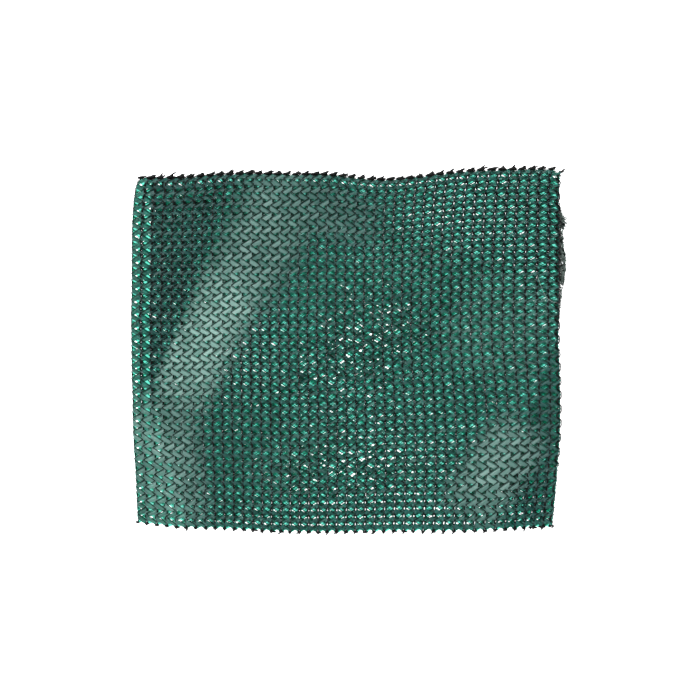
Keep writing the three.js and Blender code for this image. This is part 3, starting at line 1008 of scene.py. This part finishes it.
for low, high, count, length, spread_along, reach_out in FRINGE_ROWS:
    fibre_course = fibre_rng.uniform(low, high, count) * COURSES
    bunch = np.round(fibre_course * BUNCHES_PER_COURSE) / BUNCHES_PER_COURSE
    stray = BUNCH_WIDTH * (fibre_course - bunch) + fibre_rng.normal(0, BUNCH_STRAY, count)
    height = (bunch + stray) / COURSES
    edge_x = back_edge(height)
    band = np.maximum(edge_x - right_fold(height), LEAST_ROOT_BAND)
    root_x = edge_x - ROOT_INSIDE - fibre_rng.uniform(0, 1, count) * band
    root_z = fibre_rng.uniform(LOWEST_ROOT, HIGHEST_ROOT, count)
    root_y = along_y(root_x, height)
    heading = fibre_rng.normal(0, HEADING_SPREAD, count)[:, None]
    long = (length * fibre_rng.uniform(SHORTEST, LONGEST, count))[:, None]
    out = np.linspace(0, 1, FIBRE_POINTS)[None, :]
    curl = fibre_rng.normal(0, CURL_SPREAD, count)[:, None] * out
    climb = fibre_rng.normal(0, RISE_SPREAD, count)[:, None]
    x = root_x[:, None] + reach_out * long * out * np.cos(heading + curl)
    y = root_y[:, None] + spread_along * long * out * np.sin(heading + curl)
    z = np.maximum(root_z[:, None] + climb * out * long, FIBRE_RADIUS)
    fibre_lines.append(np.stack([x, y, z], axis=-1))
fringe = make_mesh("fringe", *tube_arrays(np.concatenate(fibre_lines), FIBRE_RADIUS))

# %% [markdown]
# ## A loose end
# One pale filament has come loose near the right fold and lies over the top layer. A few points
# of its run are listed, and the smooth curve through them is swept as a thin tube.

# %% Loose filament
LOOSE_ROWS = [
    # share along, x, y, height over the top layer
    (0.0, 79.5, 32.0, 0.6),
    (0.25, 81.0, 27.5, 1.4),
    (0.5, 83.3, 22.7, 1.5),
    (0.75, 86.0, 20.6, 0.9),
    (1.0, 88.2, 20.2, 0.3),
]
LOOSE_POINTS = 26
LOOSE_RADIUS = 0.07
loose_share = np.linspace(0, 1, LOOSE_POINTS)
loose_line = np.stack([curve_through(LOOSE_ROWS, column, loose_share) for column in (1, 2, 3)], axis=-1)
for point in loose_line:
    point[2] += float(top_z(point[:1], float(height_of(point[1])))[0])
loose_end = make_mesh("loose_filament", *tube_arrays(loose_line[None], LOOSE_RADIUS))

# %% [markdown]
# ## Finishes
# The tape is high density polyethylene film, coloured green in the melt, slit and stretched
# lengthwise, so it is satin, finely streaked along its length, and lets green light through. The
# threads are black polyethylene monofilament, drawn from a die: smooth, round and glossy. Each
# material is a small set of nodes, and one function adds a node with its settings and links.

# %% Helpers for materials


def linear(hex_colour):
    """An sRGB hex colour as linear red, green, blue and alpha."""
    values = [int(hex_colour[k : k + 2], 16) / 255 for k in (1, 3, 5)]
    return (*[v / 12.92 if v <= 0.04045 else ((v + 0.055) / 1.055) ** 2.4 for v in values], 1.0)


def add(tree, kind, links=None, **settings):
    """A node with its settings and links: a setting names a property or an input socket."""
    node = tree.nodes.new(kind)
    for key, value in settings.items():
        if hasattr(node, key):
            setattr(node, key, value)
        else:
            node.inputs[key.replace("_", " ")].default_value = value
    for socket, source in (links or {}).items():
        tree.links.new(source, node.inputs[socket])
    return node


def new_material(name):
    """An empty material and its node tree."""
    material = bpy.data.materials.new(name)
    material.use_nodes = True
    material.node_tree.nodes.clear()
    return material, material.node_tree


print("green of the film", linear("#336c69"))

# %% [markdown]
# ### Slit-film tape: its pattern
# Streaks run along the tape, a few to a millimetre on the real film. They are drawn about
# 0.25 mm wide, as fine as the render shows. A broad change over the piece and the tone of each
# leg are added to them, and the sum chooses the colour between a dark and a light one.

# %% Streaks and colours of the film
STREAKS_PER_MM = 4.0
STREAK_STRETCH = 0.22
BROAD_PER_METRE = 34.0
LEAST_GRAIN, MOST_GRAIN = 0.6, 2.2
COLOUR_ROWS = [
    # what it colours, dark end, light end
    ("plain face", "#163f41", "#336c69"),
    # painted sheen: a paler copy of the film's green, mixed in where the patches paint a sheen
    ("painted sheen face", "#6fa99d", "#c6ece3"),
    ("glowing through", "#66c6b2", "#92e8d8"),
    ("straight through", "#4cc3a8", "#6cdcc8"),
]
tape_material, tree = new_material("hdpe_slit_film_green")
uv = add(tree, "ShaderNodeUVMap", uv_map="along")
stretch = (STREAKS_PER_MM, STREAK_STRETCH, 1.0)
stretched = add(tree, "ShaderNodeMapping", {"Vector": uv.outputs[0]}, Scale=stretch)
streaks = add(tree, "ShaderNodeTexNoise", {"Vector": stretched.outputs[0]}, Scale=1.0, Detail=3.0)
where = add(tree, "ShaderNodeTexCoord").outputs["Object"]
broad = add(tree, "ShaderNodeTexNoise", {"Vector": where}, Scale=BROAD_PER_METRE, Detail=2.0)
tone = add(tree, "ShaderNodeAttribute", attribute_name="tone")
grain = streaks.outputs[0]
for part in (broad.outputs[0], tone.outputs["Fac"]):
    grain = add(tree, "ShaderNodeMath", {0: grain, 1: part}, operation="ADD").outputs[0]
grain = add(tree, "ShaderNodeMapRange", {"Value": grain}, From_Min=LEAST_GRAIN, From_Max=MOST_GRAIN)
colours = {}
for name, dark, light in COLOUR_ROWS:
    ramp = add(tree, "ShaderNodeValToRGB", {"Fac": grain.outputs[0]})
    ramp.color_ramp.elements[0].color = linear(dark)
    ramp.color_ramp.elements[1].color = linear(light)
    colours[name] = ramp.outputs[0]
print("colours of the film", list(colours))

# %% [markdown]
# ### Slit-film tape: how it takes the light
# Light from above comes back from the satin skin. Its green is dark, and a paler green is painted
# over it where the tapes carry painted sheen: a painted highlight, not a turn of the tape. Light
# from below glows through the film, and a share goes straight through as a clear green: the most
# where the film lies single, less where it is folded double. Painted sheen also raises the glow
# and lowers the clear share. Each share follows a value that the mesh carries. Creased film
# glints, so it has a smoother skin and a relief of small bumps, drawn 0.7 mm wide.

# %% Skin, glow and clear share of the film
SHARE_ROWS = [
    # what it sets, the value it follows, its size at 0, its size at 1
    ("roughness", "glint", 0.34, 0.14),
    ("glow", "painted_sheen", 0.12, 0.25),
    ("clear", "folded", 0.66, 0.34),
    ("kept clear", "painted_sheen", 1.0, 0.42),
]
CREASES_PER_METRE = 1500.0
CREASE_DEPTH = 3.0
shares = {}
for name, attribute, at_none, at_full in SHARE_ROWS:
    value = add(tree, "ShaderNodeAttribute", attribute_name=attribute).outputs["Fac"]
    share_node = add(tree, "ShaderNodeMapRange", {"Value": value}, To_Min=at_none, To_Max=at_full)
    shares[name] = share_node.outputs[0]
painted_sheen = add(tree, "ShaderNodeAttribute", attribute_name="painted_sheen").outputs["Fac"]
# painted highlight: the pale colour is mixed over the film's green by the painted sheen value
front_links = {0: painted_sheen, 6: colours["plain face"], 7: colours["painted sheen face"]}
front = add(tree, "ShaderNodeMix", front_links, data_type="RGBA").outputs[2]
glint = add(tree, "ShaderNodeAttribute", attribute_name="glint").outputs["Fac"]
crumple = add(tree, "ShaderNodeTexNoise", {"Vector": where}, Scale=CREASES_PER_METRE, Detail=0.0)
crease = add(tree, "ShaderNodeMath", {0: crumple.outputs[0], 1: glint}, operation="MULTIPLY")
relief_links = {0: crease.outputs[0], 2: streaks.outputs[0]}
relief = add(tree, "ShaderNodeMath", relief_links, operation="MULTIPLY_ADD")
relief.inputs[1].default_value = CREASE_DEPTH
bump = add(tree, "ShaderNodeBump", {"Height": relief.outputs[0]}, Strength=0.7, Distance=0.00018)
skin_links = {"Base Color": front, "Normal": bump.outputs[0], "Roughness": shares["roughness"]}
skin = add(tree, "ShaderNodeBsdfPrincipled", skin_links, IOR=1.54)
glow = add(tree, "ShaderNodeBsdfTranslucent", {"Color": colours["glowing through"]})
clear = add(tree, "ShaderNodeBsdfTransparent", {"Color": colours["straight through"]})
clear_links = {0: shares["clear"], 1: shares["kept clear"]}
clear_share = add(tree, "ShaderNodeMath", clear_links, operation="MULTIPLY").outputs[0]
body = add(tree, "ShaderNodeMixShader", {0: shares["glow"], 1: skin.outputs[0], 2: glow.outputs[0]})
film = add(tree, "ShaderNodeMixShader", {0: clear_share, 1: body.outputs[0], 2: clear.outputs[0]})
add(tree, "ShaderNodeOutputMaterial", {"Surface": film.outputs[0]})
print(tape_material.name, "has", len(tree.nodes), "nodes")

# %% [markdown]
# ### Monofilament and split fibre
# The black threads take small sharp highlights along their length. The one loose end is pale,
# and the frayed fibres are split tape, greyer and duller than the whole film. All three change a
# little in tone along their length, every 1.4 mm or so.

# %% Thread materials
TONES_PER_METRE = 700.0
DARK_UP_TO, LIGHT_FROM = 0.38, 0.62
THREAD_ROWS = [
    # name, dark end, light end, roughness
    ("hdpe_monofilament_black", "#020403", "#0a100e", 0.38),
    ("hdpe_split_fibre_grey_green", "#16241f", "#8fa19a", 0.6),
    ("hdpe_monofilament_pale", "#8fa79f", "#c4d3cd", 0.4),
]
thread_materials = []
for name, dark, light, roughness in THREAD_ROWS:
    material, tree = new_material(name)
    where = add(tree, "ShaderNodeTexCoord").outputs["Object"]
    noise = add(tree, "ShaderNodeTexNoise", {"Vector": where}, Scale=TONES_PER_METRE)
    ramp = add(tree, "ShaderNodeValToRGB", {"Fac": noise.outputs[0]})
    ramp.color_ramp.elements[0].position = DARK_UP_TO
    ramp.color_ramp.elements[0].color = linear(dark)
    ramp.color_ramp.elements[1].position = LIGHT_FROM
    ramp.color_ramp.elements[1].color = linear(light)
    bump = add(tree, "ShaderNodeBump", {"Height": noise.outputs[0]}, Strength=0.2, Distance=0.00005)
    skin_links = {"Base Color": ramp.outputs[0], "Normal": bump.outputs[0]}
    plain = dict(Roughness=roughness, IOR=1.54, Specular_IOR_Level=0.25)
    skin = add(tree, "ShaderNodeBsdfPrincipled", skin_links, **plain)
    add(tree, "ShaderNodeOutputMaterial", {"Surface": skin.outputs[0]})
    thread_materials.append(material)
black_thread, split_fibre, pale_thread = thread_materials
print("materials", [material.name for material in bpy.data.materials])

# %% [markdown]
# ## Putting it together
# Every piece takes its material and rides on the one body; the knitted tape is one strip, laid in
# folds. The solid of the imported part is hidden.

pieces = {
    tape: tape_material,
    chain_top: black_thread,
    chain_inner: black_thread,
    chain_bottom: black_thread,
    filament: black_thread,
    stubs: black_thread,
    fringe: split_fibre,
    loose_end: pale_thread,
}
for piece, material in pieces.items():
    piece.data.materials.append(material)
    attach(piece, "root")
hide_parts("shade_cloth")

# %% [markdown]
# ## Floor, light and camera
# The picture is taken from straight above on plain white, with soft light from above and some
# glow from the white surface itself, so the single layers of tape shine green.

# %% Floor
FLOOR_SIZE = 6.0
FLOOR_DROP = 0.0003
FLOOR_GLOW = 2.0
floor_material, tree = new_material("white_surface")
surface = add(
    tree,
    "ShaderNodeBsdfPrincipled",
    Base_Color=linear("#f4f4f4"),
    Roughness=0.9,
    Emission_Color=linear("#ffffff"),
    Emission_Strength=FLOOR_GLOW,
)
add(tree, "ShaderNodeOutputMaterial", {"Surface": surface.outputs[0]})
bpy.ops.mesh.primitive_plane_add(size=FLOOR_SIZE, location=(0, 0, -FLOOR_DROP))
floor = bpy.context.active_object
floor.name = "floor"
floor.data.materials.append(floor_material)
print("floor", FLOOR_SIZE, "m wide")

# %% [markdown]
# ### Light
# Two large soft boxes light the cloth from both sides, and a small one gives the fine glints on
# threads and creased film. The room around adds a weak even light.

# %% Lights
ROOM_LIGHT = 0.25
LIGHT_ROWS = [
    # name, place in metres, size, power
    ("key", (-0.7, 0.35, 1.0), 0.7, 7),
    ("fill", (0.75, -0.3, 0.9), 0.7, 4.5),
    ("spark", (-0.2, 0.45, 1.1), 0.1, 4),
]
world = bpy.data.worlds.new("studio")
bpy.context.scene.world = world
world.use_nodes = True
world.node_tree.nodes["Background"].inputs["Color"].default_value = (1, 1, 1, 1)
world.node_tree.nodes["Background"].inputs["Strength"].default_value = ROOM_LIGHT
for name, (x, y, z), size, power in LIGHT_ROWS:
    data = bpy.data.lights.new(name, "AREA")
    data.size = size
    data.energy = power
    lamp = bpy.data.objects.new(name, data)
    lamp.location = (x, y, z)
    lamp.rotation_euler = (math.atan2(math.hypot(x, y), z), 0, math.atan2(x, -y))
    bpy.context.scene.collection.objects.link(lamp)
    print("light", name, "of", power, "watts")

# %% [markdown]
# ### Camera
# A lens with a long reach looks straight down from 1.1 m. Its picture is 0.2975 m wide at the
# floor, so the cloth is as large in it as in the photograph.

# %% Camera
PICTURE_WIDTH = 0.2975
CAMERA_PLACE = (0.0004, 0.0002, 1.1)
SENSOR_WIDTH = 36.0
camera_data = bpy.data.cameras.new("camera")
camera_data.sensor_width = SENSOR_WIDTH
camera_data.lens = SENSOR_WIDTH * CAMERA_PLACE[2] / PICTURE_WIDTH
camera = bpy.data.objects.new("camera", camera_data)
camera.location = CAMERA_PLACE
camera.rotation_euler = (0, 0, 0)
bpy.context.scene.collection.objects.link(camera)
bpy.context.scene.camera = camera
bpy.context.scene.view_settings.view_transform = "Standard"
print("lens", round(camera_data.lens, 1), "mm")
